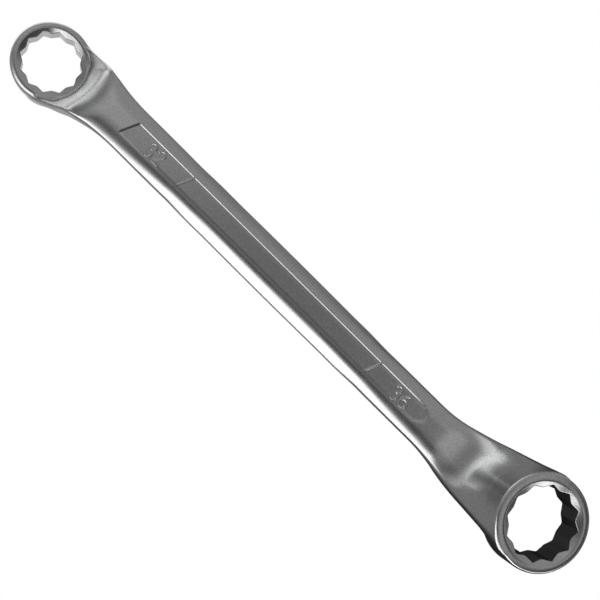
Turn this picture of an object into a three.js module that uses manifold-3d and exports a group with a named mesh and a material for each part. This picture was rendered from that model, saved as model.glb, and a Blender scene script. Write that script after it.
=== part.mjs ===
// Double-ended ring spanner, 32 and 36 mm, deep offset, drop forged in one piece.
// The forging is given as five sections that meet on flat planes: a ring and a
// neck at each end, and the shank between them. X runs along the shank from the
// small ring to the large ring, Y across it, and +Z leaves the face with the
// recessed panel. The small ring drops below the shank and the large ring rises
// above it, and both ring axes lean the same way, towards the large end.
// Lengths are millimetres.

import * as THREE from 'three';
import { mergeVertices } from 'three/addons/utils/BufferGeometryUtils.js';
import Module from 'manifold-3d';

const wasm = await Module();
wasm.setup();

// Driving dimensions of the whole forging
const RING_SPACING = 375;
const RING_TILT = THREE.MathUtils.degToRad(12);

// Shank: a flattened hexagon with a narrow land along each side
const SHANK_THICKNESS = 13;
const SHANK_WIDTH_MIDDLE = 28.8;
const SHANK_WIDTH_SMALL_END = 27.6;
const SHANK_WIDTH_LARGE_END = 27.4;
const SHANK_BEVEL_RUN = 6.2;
const SHANK_SIDE_LAND = 1;
const SHANK_EDGE_ROUND = 1.6;
const SHANK_LENGTH = 238;

// Panel: a shallow recess on both faces, with slanted ends
const PANEL_LENGTH = 234;
const PANEL_WIDTH = 10.9;
const PANEL_DEPTH = 0.6;
const PANEL_SLANT_RUN = 4.6;
const PANEL_END_FIELD = 43.4;
const PANEL_RIB = 1;
const PANEL_SHIFT = 0.4;

// Ends: each has its ring, its bore and the neck that carries it to the shank
const SMALL_END = {
  side: -1,
  outerDiameter: 48,
  ringWall: 8,
  ringHeight: 17.5,
  offset: 37,
  rimWidth: 3.5,
  mouthDepth: 2.4,
  rimChamfer: 1.2,
  neckInnerCorner: 47.5,
  neckOuterCorner: 38.5,
  neckTaper: 0.172,
  coveLean: THREE.MathUtils.degToRad(19),
};
const LARGE_END = {
  side: 1,
  outerDiameter: 53.6,
  ringWall: 8.8,
  ringHeight: 20,
  offset: 35,
  rimWidth: 3.8,
  mouthDepth: 2.6,
  rimChamfer: 1.2,
  neckInnerCorner: 47.5,
  neckOuterCorner: 38.5,
  neckTaper: 0.225,
  coveLean: THREE.MathUtils.degToRad(12),
};

// Neck details that both ends share
const NECK_LENGTH = 68;
const NECK_TAPER_START = 61;
const NECK_TAPER_ROUND = 10;
const NECK_SLOPE = THREE.MathUtils.degToRad(53);
const NECK_BEND_RADIUS = 38;
const NECK_BACK_ROUND = 14;
const NECK_INNER_RUN = 4.5;
const NECK_INNER_RISE = 9;
const NECK_OUTER_RUN = 1.6;
const NECK_OUTER_RISE = 2.4;
const NECK_END_SHARE = 0.25;
const NECK_SINK = 0.5;
const NECK_BLEND = 1;
const BEVEL_FADE_START = 72;
const BEVEL_FADE_END = 38;
const HEEL_FILLET_REACH = 7;
const HEEL_FILLET_ROUND = 4.4;
const HEEL_RUN = 12;
const HEEL_RISE = 16;
const HEEL_FADE_START = 34;
const HEEL_FADE_END = 17;
const HEEL_MARGIN = 1.6;
const COVE_MARGIN = 0.3;
const COVE_FLOOR_ROUND = 1.5;

// Cutting tools run past the metal by this much
const OVERRUN = 4;

// Facets
const STATION_STEP = 3.4;
const CORNER_STEPS = 2;
const RING_SEGMENTS = 60;

// The bore and its mouth keep their wall and rim when a ring changes size: across
// flats this gives 32 and 36
const acrossFlats = (end) => end.outerDiameter - 2 * end.ringWall;
const mouthRadius = (end) => end.outerDiameter / 2 - end.rimWidth;

const halfThickness = SHANK_THICKNESS / 2;
const halfSpacing = RING_SPACING / 2;

const chrome = (name) => {
  const material = new THREE.MeshStandardMaterial({ color: 0xa9abad, metalness: 1, roughness: 0.32 });
  material.name = name;
  return material;
};

// Manifold solids from three.js geometry, and back
function toSolid(geometry) {
  const bare = geometry.clone();
  bare.deleteAttribute('normal');
  bare.deleteAttribute('uv');
  const merged = mergeVertices(bare);
  const mesh = new wasm.Mesh({
    numProp: 3,
    vertProperties: new Float32Array(merged.attributes.position.array),
    triVerts: new Uint32Array(merged.index.array),
  });
  return new wasm.Manifold(mesh);
}

function toGeometry(solid) {
  const mesh = solid.getMesh();
  const geometry = new THREE.BufferGeometry();
  geometry.setAttribute('position', new THREE.BufferAttribute(new Float32Array(mesh.vertProperties), 3));
  geometry.setIndex(new THREE.BufferAttribute(new Uint32Array(mesh.triVerts), 1));
  geometry.computeVertexNormals();
  return geometry;
}

const smooth = (share) => {
  const t = THREE.MathUtils.clamp(share, 0, 1);
  return t * t * (3 - 2 * t);
};

// The greater of two lengths, rounded where they cross
const smoothMax = (a, b, round) => {
  const overlap = Math.max(round - Math.abs(a - b), 0);
  return Math.max(a, b) + (overlap * overlap) / (4 * round);
};

// Height of a ring's two faces above the shank axis, a length `along` in from its axis
const outerFace = (end, along) =>
  end.offset + along * Math.tan(RING_TILT) + end.ringHeight / 2 / Math.cos(RING_TILT);
const innerFace = (end, along) =>
  end.offset + along * Math.tan(RING_TILT) - end.ringHeight / 2 / Math.cos(RING_TILT);

// Side profile of an end: the surface inside the bend, from the shank up to the ring
function insideOfBend(end, along) {
  const tangent = NECK_BEND_RADIUS * Math.tan(NECK_SLOPE / 2);
  const start = end.neckInnerCorner + tangent;
  const finish = end.neckInnerCorner - tangent * Math.cos(NECK_SLOPE);
  let height = halfThickness;
  if (along < finish) {
    const climb = Math.max(end.outerDiameter / 2 + HEEL_FILLET_REACH - along, 0);
    height += (end.neckInnerCorner - along) * Math.tan(NECK_SLOPE);
    height += (climb * climb) / (2 * HEEL_FILLET_ROUND);
  } else if (along < start) {
    const run = start - along;
    height += NECK_BEND_RADIUS - Math.sqrt(NECK_BEND_RADIUS ** 2 - run ** 2);
  }
  return Math.min(height, outerFace(end, along) - end.rimChamfer - NECK_SINK);
}

// Side profile of an end: the back of the shank, then the back of the neck up to the ring
function outsideOfBend(end, along) {
  const climb = (end.neckOuterCorner - along) * Math.tan(NECK_SLOPE) - halfThickness;
  const back = smoothMax(-halfThickness, climb, NECK_BACK_ROUND);
  return Math.min(back, innerFace(end, along) + NECK_SINK);
}

// Half width of an end in plan: the neck widens from the shank until it meets the ring
function halfWidth(end, along) {
  const radius = end.outerDiameter / 2 - NECK_SINK;
  const round = Math.sqrt(Math.max(radius ** 2 - along ** 2, 0));
  const shankWidth = end.side < 0 ? SHANK_WIDTH_SMALL_END : SHANK_WIDTH_LARGE_END;
  const taper = end.neckTaper * smoothMax(0, NECK_TAPER_START - along, NECK_TAPER_ROUND);
  const bellyShare = smooth((along - NECK_LENGTH) / (halfSpacing - NECK_LENGTH));
  const belly = ((SHANK_WIDTH_MIDDLE - shankWidth) / 2) * bellyShare;
  return smoothMax(round, shankWidth / 2 + belly + taper, NECK_BLEND);
}

// One section across the forging at x, as an eight-sided outline with eased corners
function section(x) {
  const end = x < 0 ? SMALL_END : LARGE_END;
  const along = halfSpacing - Math.abs(x);
  const inside = insideOfBend(end, along);
  const outside = outsideOfBend(end, along);
  const top = end.side > 0 ? inside : -outside;
  const bottom = end.side > 0 ? outside : -inside;
  const half = halfWidth(end, along);
  const inner = edge(along, NECK_INNER_RUN, NECK_INNER_RISE);
  const outer = edge(along, NECK_OUTER_RUN, NECK_OUTER_RISE);
  const heel = smooth((HEEL_FADE_START - along) / (HEEL_FADE_START - HEEL_FADE_END));
  inner.run = THREE.MathUtils.lerp(inner.run, HEEL_RUN, heel);
  inner.rise = THREE.MathUtils.lerp(inner.rise, HEEL_RISE, heel);
  const [upper, lower] = end.side > 0 ? [inner, outer] : [outer, inner];
  const corners = [
    [half - upper.run, top],
    [half, top - upper.rise],
    [half, bottom + lower.rise],
    [half - lower.run, bottom],
    [lower.run - half, bottom],
    [-half, bottom + lower.rise],
    [-half, top - upper.rise],
    [upper.run - half, top],
  ].map(([y, z]) => new THREE.Vector2(y, z));
  return easeCorners(corners).map((p) => new THREE.Vector3(x, p.x, p.y));
}

// An edge of the section: the shank's wide bevel, fading to the neck's own
function edge(along, run, rise) {
  const fade = smooth((BEVEL_FADE_START - along) / (BEVEL_FADE_START - BEVEL_FADE_END));
  return {
    run: THREE.MathUtils.lerp(SHANK_BEVEL_RUN, run, fade),
    rise: THREE.MathUtils.lerp((SHANK_THICKNESS - SHANK_SIDE_LAND) / 2, rise, fade),
  };
}

// Each corner becomes a short quadratic curve between points on its two sides
function easeCorners(corners) {
  const points = [];
  corners.forEach((corner, i) => {
    const before = corners[(i + corners.length - 1) % corners.length];
    const after = corners[(i + 1) % corners.length];
    const back = Math.min(SHANK_EDGE_ROUND, corner.distanceTo(before) / 3);
    const ahead = Math.min(SHANK_EDGE_ROUND, corner.distanceTo(after) / 3);
    const from = corner.clone().add(before.clone().sub(corner).setLength(back));
    const to = corner.clone().add(after.clone().sub(corner).setLength(ahead));
    points.push(...new THREE.QuadraticBezierCurve(from, corner, to).getPoints(CORNER_STEPS));
  });
  return points;
}

// A closed loft through sections that hold the same number of points
function loft(sections) {
  const count = sections[0].length;
  const centres = [sections[0], sections.at(-1)].map((outline) =>
    outline.reduce((sum, p) => sum.add(p), new THREE.Vector3()).divideScalar(count));
  const points = [...sections.flat(), ...centres];
  const index = [];
  for (let s = 0; s + 1 < sections.length; s += 1) {
    for (let i = 0; i < count; i += 1) {
      const a = s * count + i;
      const b = s * count + ((i + 1) % count);
      index.push(a, a + count, b, b, a + count, b + count);
    }
  }
  const last = (sections.length - 1) * count;
  for (let i = 0; i < count; i += 1) {
    const next = (i + 1) % count;
    index.push(points.length - 2, i, next);
    index.push(points.length - 1, last + next, last + i);
  }
  const geometry = new THREE.BufferGeometry().setFromPoints(points);
  geometry.setIndex(index);
  return geometry;
}

// Stations close together along the necks and wide apart along the straight shank
function stations() {
  const half = [];
  const steps = Math.round((NECK_LENGTH + OVERRUN) / STATION_STEP);
  const smallStart = (SMALL_END.outerDiameter / 2) * NECK_END_SHARE;
  const largeStart = (LARGE_END.outerDiameter / 2) * NECK_END_SHARE;
  const shankSteps = Math.round(SHANK_LENGTH / STATION_STEP / 4);
  const reach = halfSpacing - NECK_LENGTH;
  for (let i = 0; i < steps; i += 1) {
    half.push(THREE.MathUtils.lerp(smallStart, NECK_LENGTH, i / steps) - halfSpacing);
  }
  for (let i = 0; i <= shankSteps; i += 1) {
    half.push(THREE.MathUtils.lerp(-reach, reach, i / shankSteps));
  }
  for (let i = steps - 1; i >= 0; i -= 1) {
    half.push(halfSpacing - THREE.MathUtils.lerp(largeStart, NECK_LENGTH, i / steps));
  }
  return half;
}

// Puts a shape made about +Z on a ring's own axis, with +Z pointing away from the shank
function placeOnRing(geometry, end) {
  const turn = new THREE.Matrix4().makeRotationY(RING_TILT);
  const flip = new THREE.Matrix4().makeRotationY(end.side > 0 ? 0 : Math.PI);
  const move = new THREE.Matrix4().makeTranslation(end.side * halfSpacing, 0, end.side * end.offset);
  return geometry.applyMatrix4(move.multiply(turn).multiply(flip));
}

// A revolved solid about +Z from (radius, height) pairs that start and end on the axis
function revolve(pairs) {
  const profile = pairs.map(([radius, height]) => new THREE.Vector2(radius, height));
  return new THREE.LatheGeometry(profile, RING_SEGMENTS).rotateX(Math.PI / 2);
}

function ringBlank(end) {
  const radius = end.outerDiameter / 2;
  const half = end.ringHeight / 2;
  const chamfer = end.rimChamfer;
  return toSolid(placeOnRing(revolve([
    [0, -half],
    [radius, -half],
    [radius, half - chamfer],
    [radius - chamfer, half],
    [0, half],
  ]), end));
}

// Twelve-point bore: the outline of two hexagons turned 30 degrees apart
function starBore(end) {
  const outer = acrossFlats(end) / 2 / Math.cos(Math.PI / 6);
  const inner = acrossFlats(end) / 2 / Math.cos(Math.PI / 12);
  const shape = new THREE.Shape();
  for (let i = 0; i < 24; i += 1) {
    const radius = i % 2 ? inner : outer;
    const angle = (i * Math.PI) / 12;
    const point = [radius * Math.cos(angle), radius * Math.sin(angle)];
    if (i === 0) shape.moveTo(...point);
    else shape.lineTo(...point);
  }
  const depth = end.ringHeight + 2 * OVERRUN;
  const geometry = new THREE.ExtrudeGeometry(shape, { depth, bevelEnabled: false });
  return toSolid(placeOnRing(geometry.translate(0, 0, -depth / 2), end));
}

// A lead-in cone at each mouth of the bore
function mouthCones(end) {
  const half = end.ringHeight / 2;
  const mouth = mouthRadius(end);
  const throat = acrossFlats(end) / 2;
  return toSolid(placeOnRing(revolve([
    [0, -half - OVERRUN],
    [mouth, -half - OVERRUN],
    [mouth, -half],
    [throat, end.mouthDepth - half],
    [throat, half - end.mouthDepth],
    [mouth, half],
    [mouth, half + OVERRUN],
    [0, half + OVERRUN],
  ]), end));
}

// The cove: a cone about the ring's axis that clears the neck away from the bore on
// the shank's side of the ring, eased into the ring's face at its foot
function cove(end) {
  const face = -end.ringHeight / 2;
  const foot = mouthRadius(end) + COVE_MARGIN;
  const turn = Math.PI / 2 - end.coveLean;
  const pairs = [[0, face]];
  for (let i = 0; i <= CORNER_STEPS + 1; i += 1) {
    const angle = (turn * i) / (CORNER_STEPS + 1);
    const radius = foot + COVE_FLOOR_ROUND * Math.sin(angle);
    pairs.push([radius, face - COVE_FLOOR_ROUND * (1 - Math.cos(angle))]);
  }
  const [startRadius, startHeight] = pairs.at(-1);
  const run = end.offset + SHANK_THICKNESS;
  pairs.push([startRadius + run * Math.tan(end.coveLean), startHeight - run]);
  pairs.push([0, startHeight - run]);
  return toSolid(placeOnRing(revolve(pairs.reverse()), end));
}

// One field of the panel: a slanted plate sunk into a face of the shank
function panelField(from, to, face) {
  const half = PANEL_WIDTH / 2;
  const lean = PANEL_SLANT_RUN / 2;
  const shape = new THREE.Shape([
    new THREE.Vector2(from - lean, PANEL_SHIFT - half),
    new THREE.Vector2(to - lean, PANEL_SHIFT - half),
    new THREE.Vector2(to + lean, PANEL_SHIFT + half),
    new THREE.Vector2(from + lean, PANEL_SHIFT + half),
  ]);
  const geometry = new THREE.ExtrudeGeometry(shape, { depth: PANEL_DEPTH + OVERRUN, bevelEnabled: false });
  geometry.translate(0, 0, halfThickness - PANEL_DEPTH);
  return toSolid(face > 0 ? geometry : geometry.rotateX(Math.PI));
}

function panels() {
  const end = PANEL_LENGTH / 2;
  const rib = end - PANEL_END_FIELD;
  return [
    panelField(-end, -rib - PANEL_RIB / 2, 1),
    panelField(PANEL_RIB / 2 - rib, rib - PANEL_RIB / 2, 1),
    panelField(rib + PANEL_RIB / 2, end, 1),
    panelField(-end, end, -1),
  ];
}

// The whole forging in one solid
function forging() {
  let body = toSolid(loft(stations().map(section)));
  for (const end of [SMALL_END, LARGE_END]) {
    body = body.subtract(cove(end)).add(ringBlank(end));
    body = body.subtract(mouthCones(end)).subtract(starBore(end));
  }
  for (const field of panels()) body = body.subtract(field);
  return body;
}

// The slice of a solid between two planes across the shank
function slice(solid, from, to) {
  const tall = 2 * (Math.max(SMALL_END.offset, LARGE_END.offset) + LARGE_END.outerDiameter);
  const block = new THREE.BoxGeometry(to - from, LARGE_END.outerDiameter * 2, tall);
  return solid.intersect(toSolid(block.translate((from + to) / 2, 0, 0)));
}

// How far in from its ring's axis an end is cut into ring and neck
const heelCut = (end) =>
  (end.outerDiameter / 2) * Math.cos(RING_TILT) + (end.ringHeight / 2) * Math.sin(RING_TILT) + HEEL_MARGIN;

const body = forging();
const far = halfSpacing + LARGE_END.outerDiameter;
const smallHeel = heelCut(SMALL_END) - halfSpacing;
const largeHeel = halfSpacing - heelCut(LARGE_END);
const pieces = [
  ['small_ring', -far, smallHeel],
  ['small_neck', smallHeel, -SHANK_LENGTH / 2],
  ['shank', -SHANK_LENGTH / 2, SHANK_LENGTH / 2],
  ['large_neck', SHANK_LENGTH / 2, largeHeel],
  ['large_ring', largeHeel, far],
];

// The origin is the centre of the box round the whole spanner
const spanner = new THREE.Group();
const bounds = new THREE.Box3();
for (const [name, from, to] of pieces) {
  const geometry = toGeometry(slice(body, from, to));
  geometry.computeBoundingBox();
  bounds.union(geometry.boundingBox);
  const mesh = new THREE.Mesh(geometry, chrome('satin_chrome'));
  mesh.name = name;
  spanner.add(mesh);
}
const centre = bounds.getCenter(new THREE.Vector3());
for (const mesh of spanner.children) {
  mesh.position.copy(centre).negate();
}

export default spanner;
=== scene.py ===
# %% [markdown]
# # A deep-offset ring spanner, dressed for its photograph
#
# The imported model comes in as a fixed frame: five sections of one drop forging. Each section
# is replaced here by a finer one of the same size. The shapes are worked out in millimetres
# until the moment a mesh is made, and the frame gives the place.

import math

import bmesh
import bpy
import numpy as np
from mathutils import Matrix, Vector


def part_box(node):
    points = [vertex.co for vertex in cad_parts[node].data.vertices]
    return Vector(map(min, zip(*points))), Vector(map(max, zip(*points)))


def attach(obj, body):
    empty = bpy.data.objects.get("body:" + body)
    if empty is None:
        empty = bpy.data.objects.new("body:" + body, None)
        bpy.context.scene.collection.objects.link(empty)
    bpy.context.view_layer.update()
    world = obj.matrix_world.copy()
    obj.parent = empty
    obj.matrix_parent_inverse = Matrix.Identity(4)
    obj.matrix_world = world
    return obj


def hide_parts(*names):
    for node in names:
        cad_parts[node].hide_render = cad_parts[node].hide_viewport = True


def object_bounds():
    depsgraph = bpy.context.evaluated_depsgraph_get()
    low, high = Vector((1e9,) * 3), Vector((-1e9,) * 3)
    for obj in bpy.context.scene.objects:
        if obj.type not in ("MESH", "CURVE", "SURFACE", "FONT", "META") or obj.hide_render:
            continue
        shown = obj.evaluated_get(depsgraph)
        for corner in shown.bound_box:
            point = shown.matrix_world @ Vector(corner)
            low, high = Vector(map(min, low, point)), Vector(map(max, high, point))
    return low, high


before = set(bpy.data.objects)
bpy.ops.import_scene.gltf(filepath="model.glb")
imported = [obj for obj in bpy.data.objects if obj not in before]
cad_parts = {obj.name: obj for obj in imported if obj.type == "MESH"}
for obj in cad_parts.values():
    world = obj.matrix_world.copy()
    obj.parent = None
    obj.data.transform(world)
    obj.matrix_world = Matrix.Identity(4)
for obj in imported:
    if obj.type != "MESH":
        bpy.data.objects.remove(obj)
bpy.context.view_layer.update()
shank_low, shank_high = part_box("shank")
ORIGIN = np.array([(low + high) / 2 for low, high in zip(shank_low, shank_high)]) * 1000
print("nodes:", sorted(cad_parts))
print("middle of the shank, mm:", ORIGIN.round(3))

# %% [markdown]
# ## The camera first
#
# The photograph looks almost straight down on the panel. The spanner lies on the picture's
# diagonal, and its two bores, which are circles of known size, fix where the camera stood.
# A camera is placed by three directions: its right, its up and its back.

# %% Place the camera
RIGHT = np.array([0.7109, 0.6976, 0.0892])
FORWARD = np.array([-0.0043, 0.1312, -0.9913])
CAMERA_AT = np.array([20.8, -71.85, 538.86])
PICTURE = 600
FOCAL_PIXELS = 967
SENSOR = 36

lens = bpy.data.cameras.new("camera")
lens.sensor_width = SENSOR
lens.lens = FOCAL_PIXELS * SENSOR / PICTURE
camera = bpy.data.objects.new("camera", lens)
bpy.context.collection.objects.link(camera)
turn = np.eye(4)
turn[:3, 0] = RIGHT / np.linalg.norm(RIGHT)
turn[:3, 2] = -FORWARD / np.linalg.norm(FORWARD)
turn[:3, 1] = np.cross(turn[:3, 2], turn[:3, 0])
turn[:3, 3] = (CAMERA_AT + ORIGIN) / 1000
camera.matrix_world = Matrix(turn.tolist())
bpy.context.scene.camera = camera
print("lens, mm:", round(lens.lens, 2))

# %% [markdown]
# ## The sizes of the forging
#
# Both ends follow the same rule, with their own numbers. Each is described in its own
# coordinates: `a` is the distance in from the ring's axis towards the shank, `y` is across,
# and `z` rises from the shank towards the side on which the ring stands.

# %% Name the sizes
RING_SPACING = 375.0
TILT = math.radians(12)

# The shank is a flattened hexagon. A round blends each edge into the next face. RIDGE_MARGIN
# gives back the width that RIDGE_ROUND takes off, and fades out as the bevels get narrow.
THICKNESS = 13.0
HALF = THICKNESS / 2
MIDDLE_HALF = 14.4
FLAT_HALF = 8.0
SHANK_HALF_LENGTH = 119.0
TOP_ROUND = 3.2
RIDGE_ROUND = 2.4
RIDGE_MARGIN = 0.85
RIDGE_FADE = 0.35
EDGE_ROUND = 1.0

# The neck. Each pair holds two distances from the ring's axis, and one form turns into the
# next between them. SINK keeps the neck inside the ring's outline.
NECK_LENGTH = 68.5
NECK_SLOPE = math.radians(53)
INNER_CORNER = 47.5
INNER_BEND = 38.0
TAPER_START = 61.0
TAPER_ROUND = 10.0
BEVEL_FADE = (145.0, 62.0)
NARROW_BEVEL = 2.3
NARROW_RISE = NARROW_BEVEL + 0.4
NECK_ROUND = 6.5
WALL_FADE = (72.0, 38.0)
WALL_ROUND = 2.2
HEEL_FADE = (34.0, 16.0)
HEEL_RUN = 6.0
HEEL_RISE = 6.4
SINK = 0.5

# The two ends. The taper is what the half width gains for each millimetre towards the ring.
# The cove's reach is the share of the ring's radius over which its shoulder stays round, and
# the outer corner is where the back of the neck leaves the shank.
# The bore's share of the dull mask also paints shade on its walls.
SMALL_END = dict(side=-1, flats=32.0, radius=24.0, height=17.5, offset=37.0, mouth=20.5,
                 mouth_depth=2.4, bore_dull_and_shade=0.5, shank_half=13.8, taper=0.172,
                 cove_foot=22.0, cove_lean=math.radians(10.5), cove_round=15.0, cove_reach=0.6,
                 outer_corner=34.5, outer_round=8.0, rim_round=4.2)
LARGE_END = dict(side=1, flats=36.0, radius=26.8, height=20.0, offset=35.0, mouth=23.0,
                 mouth_depth=2.6, bore_dull_and_shade=1.0, shank_half=13.7, taper=0.225,
                 cove_foot=23.8, cove_lean=math.radians(12), cove_round=10.0, cove_reach=0.4,
                 outer_corner=38.5, outer_round=14.0, rim_round=3.2)
print("ring diameters, mm:", 2 * SMALL_END["radius"], 2 * LARGE_END["radius"])

# %% [markdown]
# ## One field for the whole forging
#
# A forging has no sharp joins: the die fills every inside corner with a radius, and polishing
# takes every outside corner off. Lofts and revolved pieces meet in hard lines, and blending
# their meshes by hand is slow work. A field is easier. It is a function that is negative in
# the metal and positive outside, and it is about the distance to the surface. Two fields join
# by taking the smaller, and one cuts the other by taking the greater. A little rounding
# where they cross gives exactly the fillets and broken edges of forged steel.

# %% Rounded greater and smaller
def smooth_max(one, other, size):
    """The greater of two fields. Where they differ by less than size, a parabola rounds them off."""
    near = np.maximum(size - np.abs(one - other), 0) / size
    return np.maximum(one, other) + near * near * size / 4


def smooth_min(one, other, size):
    """The smaller of two fields, rounded in the same way."""
    return -smooth_max(-one, -other, size)


def ease(value, start, end):
    """0 before start, 1 after end, and a smooth S between: 3t^2 - 2t^3."""
    t = np.clip((value - start) / (end - start), 0, 1)
    return t * t * (3 - 2 * t)


def mix(one, other, share):
    """A straight blend from one to other."""
    return one + (other - one) * share


def nearing(a, far, near):
    """0 at the far distance from the ring's axis and beyond, 1 at the near distance and nearer."""
    return ease(-a, -far, -near)


print("rounding adds a quarter of its size at the crease:", smooth_max(0.0, 0.0, 4.0))

# %% [markdown]
# ## The bar: shank and neck
#
# The bar is a flattened hexagon along the shank. Towards each ring it bends through 53
# degrees, grows wider, and trades its long bevels for a flat side wall. Its inner and outer
# faces are two curves seen from the side, and its width is one curve seen from above, so the
# bar is the overlap of those, with bevels across the edges.

# %% The bar's curves
COVE_FADE_END = 0.95
COVE_SIDE_ROUND = 0.8
FLARE_BLEND = 2.5


def inner_height(a):
    """Side view, inside the bend: flat, then a circular arc of INNER_BEND, then a straight slope."""
    tangent = INNER_BEND * math.tan(NECK_SLOPE / 2)
    start = INNER_CORNER + tangent
    finish = INNER_CORNER - tangent * math.cos(NECK_SLOPE)
    run = np.clip(start - a, 0, INNER_BEND)
    arc = HALF + INNER_BEND - np.sqrt(np.maximum(INNER_BEND ** 2 - run ** 2, 0))
    line = HALF + (INNER_CORNER - a) * math.tan(NECK_SLOPE)
    return np.where(a < finish, line, arc)


def outer_height(a, end):
    """Side view, outside the bend: the back of the shank, rounded into a straight slope."""
    line = (end["outer_corner"] - a) * math.tan(NECK_SLOPE) - HALF
    return smooth_max(np.full_like(a, -HALF), line, end["outer_round"])


def half_width(a, end):
    """Plan view: the shank's half width, plus its belly, plus a straight taper towards the ring.
    The taper ends where it touches the ring, and a circle just inside the ring follows."""
    belly = (MIDDLE_HALF - end["shank_half"]) * ease(a, NECK_LENGTH, RING_SPACING / 2)
    taper = end["taper"] * smooth_max(np.zeros_like(a), TAPER_START - a, TAPER_ROUND)
    circle = np.sqrt(np.maximum((end["radius"] - SINK) ** 2 - a * a, 0))
    touch = end["radius"] * end["taper"]
    return np.where(a > touch, end["shank_half"] + belly + taper, circle)


def bevel(across, down, run, rise):
    """A plane that takes run off the side and rise off the face, as a distance."""
    return (across * rise + down * run + run * rise) / np.hypot(run, rise)


def bar_field(a, y, z, end, cove=None, flare=None):
    """The overlap of the two faces, the side wall and the bevels, each rounded into the next.
    A flare fills out the inner face, and a cove is cut from the back."""
    narrow = nearing(a, *BEVEL_FADE)
    heel = nearing(a, *HEEL_FADE)
    half = half_width(a, end) + RIDGE_MARGIN * (1 - ease(narrow, 0, RIDGE_FADE))
    nudge = 0.01
    inner_slope = (inner_height(a + nudge) - inner_height(a - nudge)) / (2 * nudge)
    outer_slope = (outer_height(a + nudge, end) - outer_height(a - nudge, end)) / (2 * nudge)
    above = (z - inner_height(a)) / np.hypot(1, inner_slope)
    below = (outer_height(a, end) - z) / np.hypot(1, outer_slope)
    beside = np.abs(y) - half

    inner_run = mix(mix(half - FLAT_HALF, NARROW_BEVEL, narrow), HEEL_RUN, heel)
    inner_rise = mix(mix(HALF, NARROW_RISE, narrow), HEEL_RISE, heel)
    outer_run = mix(half - FLAT_HALF, NARROW_BEVEL, narrow)
    outer_rise = mix(HALF, NARROW_BEVEL, narrow)
    edge_round = mix(TOP_ROUND, NECK_ROUND, narrow)
    top = smooth_max(above, bevel(beside, above, inner_run, inner_rise), edge_round)
    if flare is not None:
        top = smooth_min(top, flare, FLARE_BLEND)
    back = smooth_max(below, bevel(beside, below, outer_run, outer_rise), edge_round)
    if cove is not None:
        fading = ease(np.abs(y) / end["radius"], end["cove_reach"], COVE_FADE_END)
        back = smooth_max(back, -cove, mix(end["cove_round"], COVE_SIDE_ROUND, fading))
    wall_round = mix(EDGE_ROUND, WALL_ROUND, nearing(a, *WALL_FADE))
    return smooth_max(smooth_max(top, back, RIDGE_ROUND), beside, wall_round)


sample = np.array([120.0, 60.0, 40.0, 28.0])
print("large end half width at 120, 60, 40, 28 mm:", half_width(sample, LARGE_END).round(2))

# %% [markdown]
# ## The ring and its bore
#
# A ring is a short cylinder on an axis that leans 12 degrees. The bore is broached with two
# hexagons, one turned 30 degrees, which gives it twelve points. A cone at each mouth leads the
# nut in, and where it meets the twelve points it leaves the scalloped line that shows in the
# picture. Two more forms turn about the same axis. The cove is the hollow on the shank's side,
# a cone that clears the neck away from the nut, with a broad round shoulder. The flare is on the
# other side, where the neck climbs the last few millimetres steeply, up to the edge of the rim.

# %% The ring's fields
# Rounds where the forms cross. The neck stops NECK_STOP under the ring's outer face and
# AXIS_GAP short of its axis, and its fillet grows from the ring's back to its front.
STAR_ROUND = 0.5
MOUTH_ROUND = 0.3
SCALLOP_ROUND = 0.35
BORE_EDGE_ROUND = 0.4
FACE_ROUND = 0.8
COVE_FOOT_ROUND = 2.0
FLARE_LEAN = math.radians(11.4)
NECK_STOP = 1.5
NECK_STOP_ROUND = 1.0
AXIS_GAP = 3.0
BACK_FILLET, FRONT_FILLET, SIDE_FILLET = 1.6, 3.0, 2.0
FRONT_FROM = 2.0
SIDE_FADE = (0.4, 0.9)


def ring_place(a, z, end):
    """Turns the end's coordinates onto the ring's: outward along the shank, and up its own axis."""
    out = -a * math.cos(TILT) - (z - end["offset"]) * math.sin(TILT)
    axial = -a * math.sin(TILT) + (z - end["offset"]) * math.cos(TILT)
    return out, axial


def hexagon(out, y, flats, turned):
    """The greatest distance past any of a hexagon's six sides, its corners a little rounded."""
    angles = [turned + step * math.pi / 3 for step in range(3)]
    sides = [np.abs(out * math.cos(t) + y * math.sin(t)) - flats / 2 for t in angles]
    return smooth_max(smooth_max(sides[0], sides[1], STAR_ROUND), sides[2], STAR_ROUND)


def star_field(out, y, end):
    """Two hexagons together, one of them turned 30 degrees: the twelve points of the bore."""
    turned = hexagon(out, y, end["flats"], math.pi / 6)
    return smooth_min(turned, hexagon(out, y, end["flats"], 0), STAR_ROUND)


def bore_field(out, y, axial, end):
    """The twelve points, widened by a cone at each mouth that stops at the mouth's radius."""
    radial = np.hypot(out, y)
    spread = (end["mouth"] - end["flats"] / 2) / end["mouth_depth"]
    inward = end["height"] / 2 - np.abs(axial)
    cone = (radial - end["mouth"] + inward * spread) / math.hypot(1, spread)
    cone = smooth_max(cone, radial - end["mouth"], MOUTH_ROUND)
    return smooth_min(star_field(out, y, end), cone, SCALLOP_ROUND)


def cone_field(radial, axial, radius, level, lean):
    """Negative inside a cone about the ring's axis, which has the radius at the level and widens
    below it."""
    return (radial - radius + (axial - level) * math.tan(lean)) * math.cos(lean)


def cove_field(radial, axial, end):
    """The cone of the cove, with a rounded foot where it meets the ring's face."""
    half = end["height"] / 2
    cone = cone_field(radial, axial, end["cove_foot"], -half, end["cove_lean"])
    return smooth_max(cone, axial + half, COVE_FOOT_ROUND)


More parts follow.
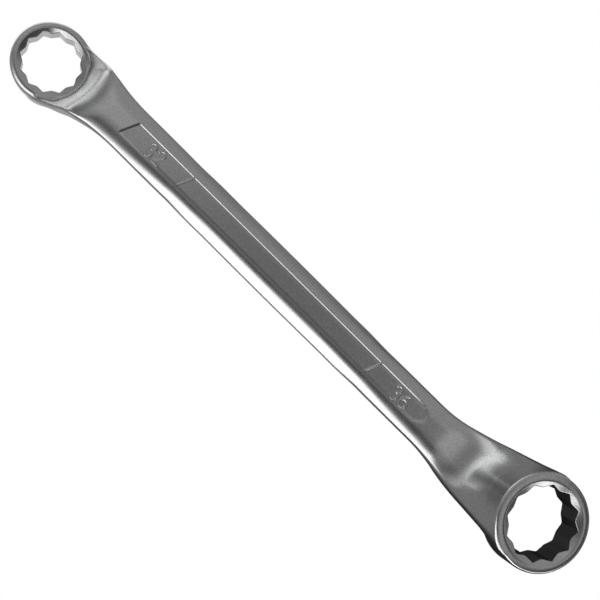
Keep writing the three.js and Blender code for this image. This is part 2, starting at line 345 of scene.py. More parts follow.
def end_field(a, y, z, end):
    """The bar with its cove and flare, stopped under the ring's outer face and short of its axis,
    joined to the ring with a fillet, trimmed at the outer face, and bored."""
    out, axial = ring_place(a, z, end)
    radial = np.hypot(out, y)
    half = end["height"] / 2
    cove = cove_field(radial, axial, end)
    flare = cone_field(radial, axial, end["radius"] - SINK, half - NECK_STOP, FLARE_LEAN)
    bar = bar_field(a, y, z, end, cove, flare)
    bar = smooth_max(bar, axial - half + NECK_STOP, NECK_STOP_ROUND)
    bar = smooth_max(bar, AXIS_GAP - a, NECK_STOP_ROUND)

    ring = smooth_max(radial - end["radius"], np.abs(axial) - half, end["rim_round"])
    fillet = mix(BACK_FILLET, FRONT_FILLET, ease(axial, -half, FRONT_FROM))
    fillet = mix(fillet, SIDE_FILLET, ease(np.abs(y) / end["radius"], *SIDE_FADE))
    metal = smooth_max(smooth_min(bar, ring, fillet), axial - half, FACE_ROUND)
    return smooth_max(metal, -bore_field(out, y, axial, end), BORE_EDGE_ROUND)


radii = np.linspace(15.0, 20.0, 501)
wall = []
for turned in np.linspace(0, math.pi / 3, 61):
    star = star_field(radii * math.cos(turned), radii * math.sin(turned), SMALL_END)
    wall.append(np.interp(0, star, radii))
print("small bore, least and greatest radius, mm:", round(min(wall), 2), round(max(wall), 2))

# %% [markdown]
# ## From a field to a mesh
#
# The field is worked out on a grid of small cubes. Each cube that the surface passes through
# gets one point, at the mean of where its edges cross the surface, and each crossed edge joins
# the four cubes around it with one face. Then every point slides down the field's slope onto
# the true surface, so the faces are as smooth as the formula and not as coarse as the cubes.

# %% Find the surface in a grid of cubes
def gradient(field, points, nudge=0.05):
    """The slope of a field at points, by differences of 2 nudges along each axis."""
    slope = np.empty_like(points)
    for axis in range(3):
        shift = np.zeros(3)
        shift[axis] = nudge
        slope[:, axis] = (field(*(points + shift).T) - field(*(points - shift).T)) / (2 * nudge)
    return slope


def cube_surface(field, low, high, pitch):
    """One point for each cube that the surface crosses, one four-sided face for each crossed edge."""
    axes = [np.arange(l, h + pitch, pitch) for l, h in zip(low, high)]
    shape = tuple(len(axis) for axis in axes)
    values = field(*np.meshgrid(*axes, indexing="ij"))
    cells = tuple(n - 1 for n in shape)
    total = np.zeros(cells + (3,))
    count = np.zeros(cells)
    for axis in range(3):
        first = np.take(values, range(shape[axis] - 1), axis)
        second = np.take(values, range(1, shape[axis]), axis)
        crossed = (first < 0) != (second < 0)
        share = np.where(crossed, first / np.where(crossed, first - second, 1), 0)
        place = np.meshgrid(*[ax[: n] for ax, n in zip(axes, first.shape)], indexing="ij")
        place[axis] = place[axis] + share * pitch
        others = [k for k in range(3) if k != axis]
        for one in (0, 1):
            for two in (0, 1):
                window = [slice(None)] * 3
                window[others[0]] = slice(one, one + cells[others[0]])
                window[others[1]] = slice(two, two + cells[others[1]])
                window = tuple(window)
                hit = crossed[window]
                count += hit
                for k in range(3):
                    total[..., k] += np.where(hit, place[k][window], 0)
    index = np.full(cells, -1)
    active = count > 0
    index[active] = np.arange(active.sum())
    points = total[active] / count[active][:, None]
    faces = []
    for axis in range(3):
        one, two = (axis + 1) % 3, (axis + 2) % 3
        inside = [slice(None)] * 3
        inside[one] = slice(1, -1)
        inside[two] = slice(1, -1)
        inner = values[tuple(inside)] < 0
        first = np.take(inner, range(shape[axis] - 1), axis)
        second = np.take(inner, range(1, shape[axis]), axis)
        where = np.argwhere(first != second)
        forward = first[tuple(where.T)]
        corners = []
        for d_one, d_two in ((0, 0), (1, 0), (1, 1), (0, 1)):
            cell = where.copy()
            cell[:, one] += d_one
            cell[:, two] += d_two
            corners.append(index[tuple(cell.T)])
        quads = np.stack(corners, 1)
        faces.append(np.where(forward[:, None], quads, quads[:, ::-1]))
    return points, np.concatenate(faces)


def settle(field, points, rounds=4, least=0.2):
    """Moves points along the slope by their field value, so that they lie on the surface. Where
    the slope is nearly flat, its square counts as the least, which keeps the step short."""
    for _ in range(rounds):
        slope = gradient(field, points)
        value = field(*points.T)
        points = points - slope * (value / np.maximum((slope ** 2).sum(1), least))[:, None]
    return points


def ball(x, y, z):
    """A ball of 5 mm, to try the two functions on."""
    return np.sqrt(x * x + y * y + z * z) - 5


coarse, ball_faces = cube_surface(ball, (-6, -6, -6), (6, 6, 6), 1.0)
errors = [np.abs(ball(*points.T)).max() for points in (coarse, settle(ball, coarse))]
print("a ball in 1 mm cubes:", len(ball_faces), "faces, off by at most", np.round(errors, 4), "mm")

# %% [markdown]
# ## Cutting an end into its two sections
#
# Each end is meshed in one go, from the ring's tip to a little past the neck, and is then cut
# on the same planes as the frame's nodes. The shading directions come from the field itself,
# so the light runs across a cut as if it weren't there.

# %% Make a piece of a mesh
def finish_piece(name, mesh, normals, flat_faces):
    """Shades a mesh and adds it as an object. Each corner gets its point's own direction, and each
    flat face its own."""
    mesh.polygons.foreach_set("use_smooth", np.ones(len(mesh.polygons), bool))
    corner_points = np.empty(len(mesh.loops), int)
    mesh.loops.foreach_get("vertex_index", corner_points)
    sizes = np.empty(len(mesh.polygons), int)
    mesh.polygons.foreach_get("loop_total", sizes)
    face_normals = np.empty((len(mesh.polygons), 3))
    mesh.polygon_normals.foreach_get("vector", face_normals.reshape(-1))
    flat = np.repeat(flat_faces, sizes)[:, None]
    corners = np.where(flat, np.repeat(face_normals, sizes, axis=0), normals[corner_points])
    mesh.normals_split_custom_set(corners.tolist())
    piece = bpy.data.objects.new(name, mesh)
    bpy.context.collection.objects.link(piece)
    return piece


def add_mask(piece, name, values):
    """Stores one number for each point, for a material to read."""
    layer = piece.data.attributes.new(name, "FLOAT", "POINT")
    layer.data.foreach_set("value", values.astype(np.float32))


def to_frame(points, end):
    """From the end's own coordinates to the frame's."""
    side = end["side"]
    x = side * (RING_SPACING / 2 - points[:, 0])
    return np.stack([x, points[:, 1], side * points[:, 2]], 1) + ORIGIN


def from_frame(points, end):
    """The way back."""
    side = end["side"]
    local = points - ORIGIN
    return np.stack([RING_SPACING / 2 - side * local[:, 0], local[:, 1], side * local[:, 2]], 1)


there = to_frame(np.array([[10.0, 5.0, 2.0]]), SMALL_END)
print("a point in the frame, and back:", there.round(2), from_frame(there, SMALL_END).round(2))

# %% Mesh one end and cut it
PITCH = 0.5
HEEL_MARGIN = 1.6
SHADING_NUDGE = 0.12

# Distances from the bore's walls and from the cove over which their masks fade. The bore's mask
# paints shade on its walls.
BORE_MASK = (0.05, 0.3)
COVE_MASK = (2.0, 6.0)
COVE_MARGIN = 2.0

# Room around an end in its grid of cubes
BESIDE, PAST_TIP, UNDER, PAST_CUT, ABOVE = 4, 2, 2, 4, 8


def heel_cut(end):
    """How far in from its ring's axis an end is divided into ring and neck."""
    return end["radius"] * math.cos(TILT) + end["height"] / 2 * math.sin(TILT) + HEEL_MARGIN


def cut_section(name, mesh, end, near, far):
    """Keeps what lies between two planes across the shank, caps it flat, shades it and stores the
    masks: the bore's walls, duller and painted darker as shade, and the cove with its foot."""
    bm = bmesh.new()
    bm.from_mesh(mesh)
    side = end["side"]
    for distance, sign in ((near, -1), (far, 1)):
        if distance is None:
            continue
        x = (side * (RING_SPACING / 2 - distance) + ORIGIN[0]) / 1000
        bmesh.ops.bisect_plane(bm, geom=bm.verts[:] + bm.edges[:] + bm.faces[:], dist=1e-7,
                               plane_co=(x, 0, 0), plane_no=(-side * sign, 0, 0), clear_outer=True)
    rim = [edge for edge in bm.edges if edge.is_boundary]
    filled = bmesh.ops.triangle_fill(bm, use_beauty=True, use_dissolve=False, edges=rim)["geom"]
    bm.faces.index_update()
    caps = [item.index for item in filled if isinstance(item, bmesh.types.BMFace)]
    bmesh.ops.recalc_face_normals(bm, faces=bm.faces)
    section = bpy.data.meshes.new(name)
    bm.to_mesh(section)
    bm.free()

    flat = np.zeros(len(section.polygons), bool)
    flat[caps] = True
    points = np.empty(len(section.vertices) * 3)
    section.vertices.foreach_get("co", points)
    local = from_frame(points.reshape(-1, 3) * 1000, end)
    slope = gradient(lambda a, y, z: end_field(a, y, z, end), local, SHADING_NUDGE)
    slope /= np.linalg.norm(slope, axis=1)[:, None] + 1e-9
    piece = finish_piece(name, section, slope * np.array([-side, 1, side]), flat)

    a, y, z = local.T
    out, axial = ring_place(a, z, end)
    radial = np.hypot(out, y)
    # The bore's walls get painted shade: a darker colour, as well as more roughness.
    walls = 1 - ease(np.abs(star_field(out, y, end)), *BORE_MASK)
    add_mask(piece, "dull_and_shade", walls * end["bore_dull_and_shade"])
    hollow = 1 - ease(np.abs(cove_field(radial, axial, end)), *COVE_MASK)
    outside = ease(radial, end["cove_foot"] - COVE_MARGIN, end["cove_foot"] + COVE_MARGIN)
    add_mask(piece, "hollow", hollow * outside)
    return piece


def make_end(end, ring_name, neck_name):
    """The ring and neck sections of one end, meshed in a box with some room on every side."""
    def field(a, y, z):
        return end_field(a, y, z, end)

    reach = end["radius"] + BESIDE
    low = (-reach - PAST_TIP, -reach, -HALF - UNDER)
    high = (NECK_LENGTH + PAST_CUT, reach, end["offset"] + end["height"] / 2 + ABOVE)
    points, faces = cube_surface(field, low, high, PITCH)
    points = to_frame(settle(field, points), end) / 1000
    mesh = bpy.data.meshes.new("end")
    mesh.from_pydata(points.tolist(), [], faces[:, ::-1].tolist())
    ring = cut_section(ring_name, mesh, end, None, heel_cut(end))
    neck = cut_section(neck_name, mesh, end, heel_cut(end), NECK_LENGTH)
    bpy.data.meshes.remove(mesh)
    print(ring_name, len(ring.data.polygons), "faces;", neck_name, len(neck.data.polygons), "faces")
    return ring, neck


small_ring, small_neck = make_end(SMALL_END, "ring_32", "neck_32")
large_ring, large_neck = make_end(LARGE_END, "ring_36", "neck_36")

# %% [markdown]
# ## The shank and its panel
#
# The shank is the same field, but it is long and plain, so a grid of stations along it and
# directions around it needs far fewer points than cubes do. The recess, its two ribs and the
# size numbers are then one height map, pressed into the top face.

# %% Strokes for the numbers
def segment(u, v, start, end):
    """Distance to a straight stroke."""
    du, dv = end[0] - start[0], end[1] - start[1]
    t = np.clip(((u - start[0]) * du + (v - start[1]) * dv) / (du * du + dv * dv), 0, 1)
    return np.hypot(u - start[0] - t * du, v - start[1] - t * dv)


def arc(u, v, centre, radius, start, sweep):
    """Distance to an arc from start through sweep degrees, counter-clockwise."""
    du, dv = u - centre[0], v - centre[1]
    angle = (np.degrees(np.arctan2(dv, du)) - start) % 360
    on_arc = np.abs(np.hypot(du, dv) - radius)
    tips = [math.radians(start), math.radians(start + sweep)]
    ends = [np.hypot(du - radius * math.cos(t), dv - radius * math.sin(t)) for t in tips]
    return np.where(angle <= sweep, on_arc, np.minimum(*ends))


def three(u, v):
    """Two bowls, one on the other."""
    return np.minimum(arc(u, v, (0, 2.1), 1.9, -90, 240), arc(u, v, (0, -2.1), 2.3, -150, 240))


def two(u, v):
    """A bowl, a long slant and a foot."""
    foot = segment(u, v, (-2.2, -4.3), (2.3, -4.3))
    slant = segment(u, v, (1.75, 1.0), (-2.2, -4.3))
    return np.minimum(np.minimum(arc(u, v, (0, 2.0), 2.1, -28, 200), slant), foot)


def six(u, v):
    """A round bowl with a long arm over it."""
    return np.minimum(arc(u, v, (0, -2.0), 2.3, 0, 360), arc(u, v, (2.9, -1.6), 5.2, 112, 70))


print("from the middle to each number's stroke, mm:",
      [round(float(digit(0.0, 0.0)), 2) for digit in (three, two, six)])

# %% The panel's height map
PANEL_HALF_LENGTH = 117.0
PANEL_HALF_WIDTH = 5.45
PANEL_SHIFT = 0.4
PANEL_SLANT = 0.42
PANEL_DEPTH = 0.6

# Walls, as distances from the panel's own edges. The large end is round and grows shallow.
UPPER_WALL = 0.72
UPPER_EDGE = 0.35
LOWER_WALL = (-1.3, 1.6)
END_WALL = 1.0
ROUND_AT = 110.0
ROUND_WALL = (-2.4, 0.4)
SHALLOW = (98.0, 118.0)
SHALLOW_SHARE = 0.45
BACK_WALL = (-0.3, 0.5)

# Ribs, which leave a share of the depth, and numbers, which rise from the floor
RIB_AT = 73.3
RIB_WALL = (0.15, 0.75)
RIB_SHARE = 0.3
NUMBER_AT = 96.0
NUMBER_HEIGHT = 0.4
NUMBER_FLOOR = 0.1
HALF_SPACE = 3.3
STROKE = (0.2, 0.75)


def panel_depth(x, y):
    """How deep the panel is at a point: full inside, rising at its walls, ribs and numbers."""
    across = y - PANEL_SHIFT
    sheared = x - PANEL_SLANT * across
    upper_wall = np.clip((PANEL_HALF_WIDTH + UPPER_EDGE - across) / UPPER_WALL, 0, 1)
    lower_wall = ease(across + PANEL_HALF_WIDTH, *LOWER_WALL)
    left_wall = np.clip((sheared + PANEL_HALF_LENGTH) / END_WALL, 0, 1)
    corner = np.hypot(np.maximum(x - ROUND_AT, 0), across) - PANEL_HALF_WIDTH
    right_wall = np.where(x > ROUND_AT, 1 - ease(corner, *ROUND_WALL), 1)
    walls = upper_wall * lower_wall * left_wall * right_wall
    rib = ease(np.abs(np.abs(sheared) - RIB_AT) / math.hypot(1, PANEL_SLANT), *RIB_WALL)
    depth = PANEL_DEPTH * walls * mix(RIB_SHARE, 1, rib) * mix(1, SHALLOW_SHARE, ease(x, *SHALLOW))

    u = x - np.sign(x) * NUMBER_AT
    right_digit = np.where(x > 0, six(u - HALF_SPACE, y), two(u - HALF_SPACE, y))
    stroke = np.minimum(three(u + HALF_SPACE, y), right_digit)
    return depth - NUMBER_HEIGHT * (1 - ease(stroke, *STROKE)) * (depth > NUMBER_FLOOR)


def back_depth(x, y):
    """The back panel: the same recess with no ribs and no numbers."""
    across = y - PANEL_SHIFT
    sheared = x - PANEL_SLANT * across
    inside = np.minimum(PANEL_HALF_WIDTH - np.abs(across), PANEL_HALF_LENGTH - np.abs(sheared))
    return PANEL_DEPTH * ease(inside, *BACK_WALL)


spots = np.array([0.0, RIB_AT, 90.0, 116.0])
print("depth in the field, at a rib, beside a number and at the round end, mm:",
      panel_depth(spots, np.full(4, PANEL_SHIFT)).round(2))

# %% The stations and directions of the shank's grid
FINE, PLAIN = ((0.22, 0.5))
BACK_PITCH = 0.6
FLAT_MARGIN = 0.6
SIDE_STEPS = 34


def spaced(*runs):
    """Stations in several runs of (from, to, pitch), each with its own spacing, no point twice."""
    parts = [np.arange(start, stop - step / 2, step) for start, stop, step in runs]
    return np.concatenate(parts + [[runs[-1][1]]])


def around_directions():
    """Directions about the axis, close together across the top panel and wider elsewhere."""
    edge = FLAT_HALF - FLAT_MARGIN
    top = np.arctan2(HALF, np.arange(edge, -edge, -FINE))
    side = np.linspace(top[-1], 2 * np.pi - top[-1], SIDE_STEPS)[:-1]
    under = 2 * np.pi - np.arctan2(HALF, np.arange(edge, -edge, -BACK_PITCH))[::-1]
    other = np.linspace(under[-1], 2 * np.pi + top[0], SIDE_STEPS)[:-1]
    return np.concatenate([top[:-1], side, under[:-1], other])


# Fine where the end wall, the numbers and the ribs are
stations = spaced((-SHANK_HALF_LENGTH, -112, FINE), (-112, -103, PLAIN), (-103, -88, FINE),
                  (-88, -76, PLAIN), (-76, -70, FINE), (-70, 70, PLAIN), (70, 76, FINE),
                  (76, 88, PLAIN), (88, 103, FINE), (103, SHANK_HALF_LENGTH, PLAIN))
angles = around_directions()
print("stations:", len(stations), "directions:", len(angles))

# %% Work out the shank on its grid
SEARCH = (2.0, 22.0)
HALVINGS = 26

# How dull the recess is, how far from the spanner's middle its dullness changes, and the painted
# shade along its lower foot
PRESSED = 0.02
END_DULLNESS = 0.22
MIDDLE_DULLNESS = 0.42
DULL_FADE = (20.0, 105.0)
FOOT_SHADE = 0.5
FOOT_SHADE_WIDTH = (0.6, 1.8)
FOOT_SHADE_FADE = (80.0, 114.0)


def shoot(x, angle):
    """How far from the axis the surface is in each direction, by halving the gap around it."""
    a = RING_SPACING / 2 - np.abs(x)
    near, far = (np.full_like(x, limit) for limit in SEARCH)
    for _ in range(HALVINGS):
        middle = (near + far) / 2
        y, z = middle * np.cos(angle), middle * np.sin(angle)
        value = np.where(x < 0, bar_field(a, y, -z, SMALL_END), bar_field(a, y, z, LARGE_END))
        near, far = np.where(value < 0, middle, near), np.where(value < 0, far, middle)
    return near


def panel_dull_and_shade(x, y, pressed, on_top):
    """Darker and duller in the recess, most of all in its middle, with painted shade at its end wall
    and along its lower foot.
    """
    past_end = x - PANEL_SLANT * (y - PANEL_SHIFT) + PANEL_HALF_LENGTH - END_WALL / 2
    # Painted shade: the end wall and the lower foot of the recess are darkened where they meet its
    # floor.
    end_wall_shade = on_top * (pressed > PRESSED) * (1 - ease(np.abs(past_end), END_WALL / 2, END_WALL))
    foot = 1 - ease(np.abs(y - PANEL_SHIFT + PANEL_HALF_WIDTH), *FOOT_SHADE_WIDTH)
    foot = FOOT_SHADE * on_top * foot * (1 - ease(np.abs(x), *FOOT_SHADE_FADE))
    field = mix(MIDDLE_DULLNESS, END_DULLNESS, ease(np.abs(x), *DULL_FADE))
    return np.maximum(field * np.clip(pressed / PANEL_DEPTH, 0, 1) + foot, end_wall_shade)


def make_shank():
    """The bar's surface at each station and direction, with the panels pressed into both faces."""
    x, angle = np.meshgrid(stations, angles, indexing="ij")
    distance = shoot(x, angle)
    y, z = distance * np.cos(angle), distance * np.sin(angle)
    on_top = (z > 0) & (np.abs(y) < FLAT_HALF)
    on_back = (z < 0) & (np.abs(y) < FLAT_HALF)
    pressed = np.where(on_top, panel_depth(x, y), np.where(on_back, back_depth(x, -y), 0))
    points = np.stack([x, y, z - np.sign(z) * pressed], -1)
    along_bar = np.gradient(points, axis=0)
    around_bar = np.roll(points, -1, axis=1) - np.roll(points, 1, axis=1)
    normals = np.cross(around_bar, along_bar)
    normals /= np.linalg.norm(normals, axis=-1)[..., None]

    index = np.arange(x.size).reshape(x.shape)
    right = np.roll(index, -1, axis=1)
    quads = np.stack([index[:-1], right[:-1], right[1:], index[1:]], -1).reshape(-1, 4)
    faces = quads.tolist() + [index[0][::-1].tolist(), index[-1].tolist()]
    flat = np.zeros(len(faces), bool)
    flat[-2:] = True
    mesh = bpy.data.meshes.new("shank_bar")
    mesh.from_pydata(((points.reshape(-1, 3) + ORIGIN) / 1000).tolist(), [], faces)
    piece = finish_piece("shank_bar", mesh, normals.reshape(-1, 3), flat)
    add_mask(piece, "dull_and_shade", panel_dull_and_shade(x, y, pressed, on_top).ravel())
    add_mask(piece, "hollow", np.zeros(x.size))
    return piece


shank = make_shank()
print("shank faces:", len(shank.data.polygons))

# %% [markdown]
# ## Satin chrome
#
# Satin chrome is bright metal over a blasted surface: it reflects like a mirror seen through
# a very fine frost. So the metal is plain, and the finish is in its roughness and in a fine
# bump. Both come from noise on Object coordinates, in one node group. Two masks stored on the
# points say where the surface changes. The recess and the broached bore are duller and the
# coves are rougher, because the polishing wheel can't reach them. The recess is also darker,
# with painted shade at its end wall and along its lower foot, and the bore's walls are painted
# darker as shade.

# %% Shader maths in short form
def feed(tree, socket, value):
    """Gives a socket a number, or links another socket to it."""
    if isinstance(value, bpy.types.NodeSocket):
        tree.links.new(value, socket)
    else:
        socket.default_value = value


def add_math(tree, operation, *values):
    """One maths node, fed by sockets or numbers."""
    node = tree.nodes.new("ShaderNodeMath")
    node.operation = operation
    for socket, value in zip(node.inputs, values):
        feed(tree, socket, value)
    return node.outputs["Value"]


def remap(tree, value, start, end, first, last, kind="LINEAR"):
    """Goes from first to last in a straight line, as value goes from start to end."""
    node = tree.nodes.new("ShaderNodeMapRange")
    node.interpolation_type = kind
    for name, number in {"From Min": start, "From Max": end, "To Min": first, "To Max": last}.items():
        node.inputs[name].default_value = number
    tree.links.new(value, node.inputs["Value"])
    return node.outputs["Result"]


def soft_step(tree, value, start, end, first, last):
    """The same along a smooth S."""
    return remap(tree, value, start, end, first, last, "SMOOTHSTEP")


def along(tree, vector, aim):
    """How far a vector reaches in one direction."""
    node = tree.nodes.new("ShaderNodeVectorMath")
    node.operation = "DOT_PRODUCT"
    node.inputs[1].default_value = aim
    tree.links.new(vector, node.inputs[0])
    return node.outputs["Value"]


def add_noise(tree, place, scale, detail):
    """A noise between 0 and 1."""
    node = tree.nodes.new("ShaderNodeTexNoise")
    node.inputs["Detail"].default_value = detail
    tree.links.new(place, node.inputs["Vector"])
    feed(tree, node.inputs["Scale"], scale)
    return node.outputs["Fac"]


def mix_shaders(tree, share, first, second):
    """The first shader where share is 0, the second where it is 1."""
    node = tree.nodes.new("ShaderNodeMixShader")
    for socket, value in zip(node.inputs, (share, first, second)):
        tree.links.new(value, socket)
    return node.outputs["Shader"]


print("helpers:", [helper.__name__ for helper in (add_math, remap, along, add_noise, mix_shaders)])

# %% A node group for the blasted finish
CLOUD_SCALE = 90
CLOUD_DETAIL = 4
GRAIN_DETAIL = 3
NOISE_SPAN = (0.3, 0.7)
ROUGHNESS_SPREAD = (-0.03, 0.03)
TONE_SPREAD = (0.84, 1.16)


def make_satin_group():
    """Two sizes of noise: grain for the blasting, and slow clouds for the hand polishing."""
    group = bpy.data.node_groups.new("satin_finish", "ShaderNodeTree")
    for name, kind, value in (("Base Roughness", "Float", 0.3), ("Grain Size", "Float", 1400.0),
                              ("Grain Depth", "Float", 0.3), ("Colour", "Color", (0.5, 0.5, 0.5, 1))):
        socket = group.interface.new_socket(name, in_out="INPUT", socket_type="NodeSocket" + kind)
        socket.default_value = value
    for name, kind in (("Colour", "Color"), ("Roughness", "Float"), ("Height", "Float")):
        group.interface.new_socket(name, in_out="OUTPUT", socket_type="NodeSocket" + kind)
    given = group.nodes.new("NodeGroupInput").outputs
    result = group.nodes.new("NodeGroupOutput").inputs
    place = group.nodes.new("ShaderNodeTexCoord").outputs["Object"]
    grain = add_noise(group, place, given["Grain Size"], GRAIN_DETAIL)
    clouds = add_noise(group, place, CLOUD_SCALE, CLOUD_DETAIL)

    spread = remap(group, clouds, *NOISE_SPAN, *ROUGHNESS_SPREAD)
    group.links.new(add_math(group, "ADD", given["Base Roughness"], spread), result["Roughness"])
    group.links.new(add_math(group, "MULTIPLY", grain, given["Grain Depth"]), result["Height"])
    tinted = group.nodes.new("ShaderNodeVectorMath")
    tinted.operation = "SCALE"
    group.links.new(given["Colour"], tinted.inputs[0])
    group.links.new(remap(group, grain, *NOISE_SPAN, *TONE_SPREAD), tinted.inputs["Scale"])
    group.links.new(tinted.outputs["Vector"], result["Colour"])
    return group


satin_group = make_satin_group()
print("group sockets:", [item.name for item in satin_group.interface.items_tree])

# %% The chrome itself
GRAIN_SIZE = 1400.0
GRAIN_DEPTH = 0.3
BUMP_STRENGTH = 0.25
BUMP_DISTANCE = 0.0002


def read_mask(tree, name):
    """One of the masks stored on the points."""
    node = tree.nodes.new("ShaderNodeAttribute")
    node.attribute_name = name
    return node.outputs["Fac"]


def make_chrome(name, bright, dull_and_shade, roughness, dull_roughness, hollow_roughness):
    """Metal with the satin group's tint and bump. One mask darkens and roughens recess and bore, and
    in the bore and at the recess's end wall and foot that darkening is painted shade. The hollow mask
    roughens the coves, where no polishing wheel reaches."""
    material = bpy.data.materials.new(name)
    material.use_nodes = True
    tree = material.node_tree
    shader = tree.nodes["Principled BSDF"]
    shader.inputs["Metallic"].default_value = 1
    mask = read_mask(tree, "dull_and_shade")
    colour = tree.nodes.new("ShaderNodeMix")
    colour.data_type = "RGBA"
    colour.inputs["A"].default_value = (*bright, 1)
    colour.inputs["B"].default_value = (*dull_and_shade, 1)
    tree.links.new(mask, colour.inputs["Factor"])
    rough = remap(tree, mask, 0, 1, roughness, dull_roughness)
    rough = add_math(tree, "MULTIPLY_ADD", read_mask(tree, "hollow"), hollow_roughness, rough)

    satin = tree.nodes.new("ShaderNodeGroup")
    satin.node_tree = satin_group
    satin.inputs["Grain Size"].default_value = GRAIN_SIZE
    satin.inputs["Grain Depth"].default_value = GRAIN_DEPTH
    tree.links.new(colour.outputs["Result"], satin.inputs["Colour"])
    tree.links.new(rough, satin.inputs["Base Roughness"])
    bump = tree.nodes.new("ShaderNodeBump")
    bump.inputs["Strength"].default_value = BUMP_STRENGTH
    bump.inputs["Distance"].default_value = BUMP_DISTANCE
    tree.links.new(satin.outputs["Height"], bump.inputs["Height"])
    tree.links.new(bump.outputs["Normal"], shader.inputs["Normal"])
    tree.links.new(satin.outputs["Colour"], shader.inputs["Base Color"])
    tree.links.new(satin.outputs["Roughness"], shader.inputs["Roughness"])
    return material


# The dark colour is the recess's own darker tone, and painted shade in the bore and at the recess's
# end wall and foot.
chrome = make_chrome("satin_chrome", bright=(0.52, 0.523, 0.527), dull_and_shade=(0.13, 0.13, 0.132),
                     roughness=0.22, dull_roughness=0.4, hollow_roughness=0.17)
print("material:", chrome.name, "with", len(chrome.node_tree.nodes), "nodes")

# %% Put each section in its node's place
PLACES = {"small_ring": small_ring, "small_neck": small_neck, "shank": shank,
          "large_neck": large_neck, "large_ring": large_ring}
for node, piece in PLACES.items():
    piece.data.materials.append(chrome)
    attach(piece, "root")
    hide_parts(node)
    print(node, "->", piece.name)

# %% [markdown]
# ## The studio
#
# The picture is a cut-out on white, but the metal still shows what stood around it. The top
# faces are mid grey, so little light hung straight above. The bevel on the lower left is nearly
# white, so a bright panel stood low on that side. Lamps could do this, but a lamp's edge shows
# in satin metal. So each panel is a broad patch of light in the world: a direction, a size, a
# softness and a strength. The camera itself sees plain white.
#
# The floor is white to the camera too. A white floor would make the metal far too pale, so in
# the metal it has a tone of its own, fitted to the reflections in the picture: a painted shadow
# near the spanner, and painted light past the small ring, which is what lights the cove.

# %% The floor
# Metres here. The painted shadow follows a line under the spanner, which ends at TIP_AT.
FLOOR_DROP = 0.06
FLOOR_SIZE = 6
PAPER = 0.9
TIP_AT = -0.16

# Where each change starts and ends, and the tone or share there
SHADOW = (0.05, 0.14, 0.16, 0.28)
LARGE_END_SHADE = (0.06, 0.2, 1.0, 0.1)
UPPER_SIDE = (0.1, 0.24, 0, 1)
LOWER_SIDE = (-0.06, 0.03, 0, 1.05)
UPPER_AIM = (-1, -0.55, 0)
LOWER_AIM = (-0.1, 1, 0)


def painted_floor_reflection(tree):
    """The floor as the metal sees it, painted shadow and painted light: dark by distance from the
    line under the spanner, darker still under the large end, plus painted light between two soft
    edges past the small end."""
    place = tree.nodes.new("ShaderNodeTexCoord").outputs["Object"]
    x, y = along(tree, place, (1, 0, 0)), along(tree, place, (0, 1, 0))
    past_tip = add_math(tree, "MAXIMUM", add_math(tree, "SUBTRACT", TIP_AT, x), 0.0)
    squares = add_math(tree, "MULTIPLY_ADD", past_tip, past_tip, add_math(tree, "MULTIPLY", y, y))
    shadow = soft_step(tree, add_math(tree, "SQRT", squares), *SHADOW)
    upper_side = soft_step(tree, along(tree, place, UPPER_AIM), *UPPER_SIDE)
    lower_side = soft_step(tree, along(tree, place, LOWER_AIM), *LOWER_SIDE)
    painted_light_past_tip = add_math(tree, "MULTIPLY", upper_side, lower_side)
    return add_math(tree, "MULTIPLY_ADD", shadow, soft_step(tree, x, *LARGE_END_SHADE), painted_light_past_tip)


floor_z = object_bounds()[0][2] - FLOOR_DROP
bpy.ops.mesh.primitive_plane_add(size=FLOOR_SIZE, location=(0, 0, floor_z))
floor = bpy.context.object
floor.name = "floor"
paper_with_painted_reflection = bpy.data.materials.new("paper_with_painted_reflection")
paper_with_painted_reflection.use_nodes = True
tree = paper_with_painted_reflection.node_tree
white = tree.nodes["Principled BSDF"]
white.inputs["Base Color"].default_value = (PAPER, PAPER, PAPER, 1)
white.inputs["Roughness"].default_value = PAPER
# Glossy rays see the painted shadow and painted light; diffuse rays see the white paper.
painted_reflection = tree.nodes.new("ShaderNodeEmission")
tree.links.new(painted_floor_reflection(tree), painted_reflection.inputs["Strength"])
glow = tree.nodes.new("ShaderNodeEmission").outputs["Emission"]
path = tree.nodes.new("ShaderNodeLightPath").outputs
in_metal = mix_shaders(tree, path["Is Glossy Ray"], white.outputs["BSDF"], painted_reflection.outputs["Emission"])
surface = mix_shaders(tree, path["Is Camera Ray"], in_metal, glow)
tree.links.new(surface, tree.nodes["Material Output"].inputs["Surface"])
floor.data.materials.append(paper_with_painted_reflection)
print("floor at, mm:", round(floor_z * 1000, 1))

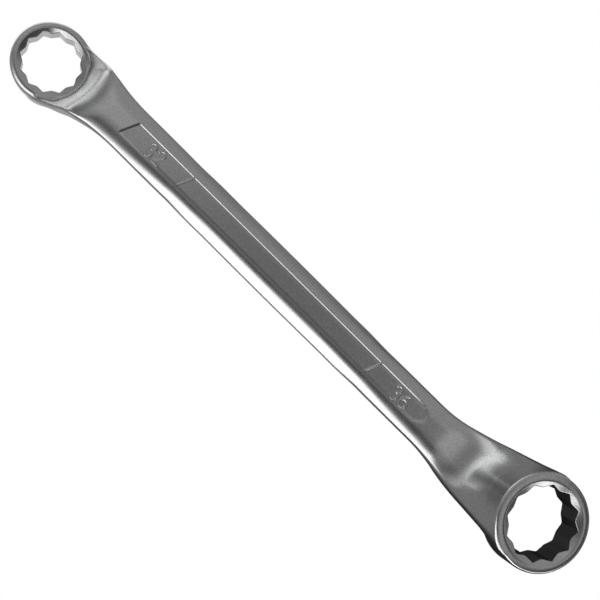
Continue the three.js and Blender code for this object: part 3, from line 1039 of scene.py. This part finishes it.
# %% Panels of light in the world
BASE_LIGHT = 0.22
PANELS = [
    # title, azimuth, half width, softness, lowest, highest, softness, strength. All but the
    # strength are degrees, 180 wide is all round, and 90 up or down is no limit.
    ("lower left", -83, 37, 9, -3, 44, 7, 1.9),
    ("below", -32, 25, 9, -3, 18, 5, 1.7),
    ("gap over it", -90, 50, 25, 58, 78, 7, -0.16),
    ("gap at the left", 176, 35, 15, 20, 38, 7, -0.05),
    ("gap at the right", -5, 45, 15, 18, 45, 7, -0.16),
    ("overhead", 0, 180, 10, 70, 90, 12, 0.04),
    ("upper right", 112, 60, 25, 15, 82, 10, 0.17),
    ("high left", 176, 45, 20, 46, 80, 8, 0.16),
    ("top", 150, 20, 12, -5, 13, 7, 0.35),
    ("left", 168, 48, 16, -30, 13, 13, 0.4),
    ("horizon", 0, 180, 10, -90, 12, 10, 0.12),
    ("lower right", 8, 35, 20, 44, 62, 7, 0.25),
]


def add_panel(tree, level, up, azimuth, wide, wide_soft, low, high, tall_soft, strength):
    """A patch of light: its strength inside, fading to nothing at its sides, its foot and its top."""
    patch = strength
    if wide < 180:
        aim = (math.cos(math.radians(azimuth)), math.sin(math.radians(azimuth)), 0)
        edge, core = (math.cos(math.radians(wide + soft)) for soft in (wide_soft, -wide_soft))
        patch = soft_step(tree, along(tree, level, aim), edge, core, 0, strength)
    for limit, first, last in ((low, 0, 1), (high, 1, 0)):
        if abs(limit) < 90:
            heights = [min(90, limit + soft) for soft in (-tall_soft, tall_soft)]
            start, end = (math.sin(math.radians(height)) for height in heights)
            patch = add_math(tree, "MULTIPLY", patch, soft_step(tree, up, start, end, first, last))
    return patch


world = bpy.data.worlds.new("studio")
bpy.context.scene.world = world
world.use_nodes = True
tree = world.node_tree
direction = tree.nodes.new("ShaderNodeTexCoord").outputs["Generated"]
flatten = tree.nodes.new("ShaderNodeVectorMath")
flatten.operation = "MULTIPLY"
flatten.inputs[1].default_value = (1, 1, 0)
tree.links.new(direction, flatten.inputs[0])
unit = tree.nodes.new("ShaderNodeVectorMath")
unit.operation = "NORMALIZE"
tree.links.new(flatten.outputs["Vector"], unit.inputs[0])
up = along(tree, direction, (0, 0, 1))
light = BASE_LIGHT
for title, *numbers in PANELS:
    light = add_math(tree, "ADD", light, add_panel(tree, unit.outputs["Vector"], up, *numbers))

studio = tree.nodes["Background"]
plain = tree.nodes.new("ShaderNodeBackground")
for background in (studio, plain):
    background.inputs["Color"].default_value = (1, 1, 1, 1)
tree.links.new(light, studio.inputs["Strength"])
seen = tree.nodes.new("ShaderNodeLightPath").outputs["Is Camera Ray"]
surface = mix_shaders(tree, seen, studio.outputs["Background"], plain.outputs["Background"])
tree.links.new(surface, tree.nodes["World Output"].inputs["Surface"])
print("light patches:", [panel[0] for panel in PANELS])

bpy.context.scene.view_settings.view_transform = "Standard"
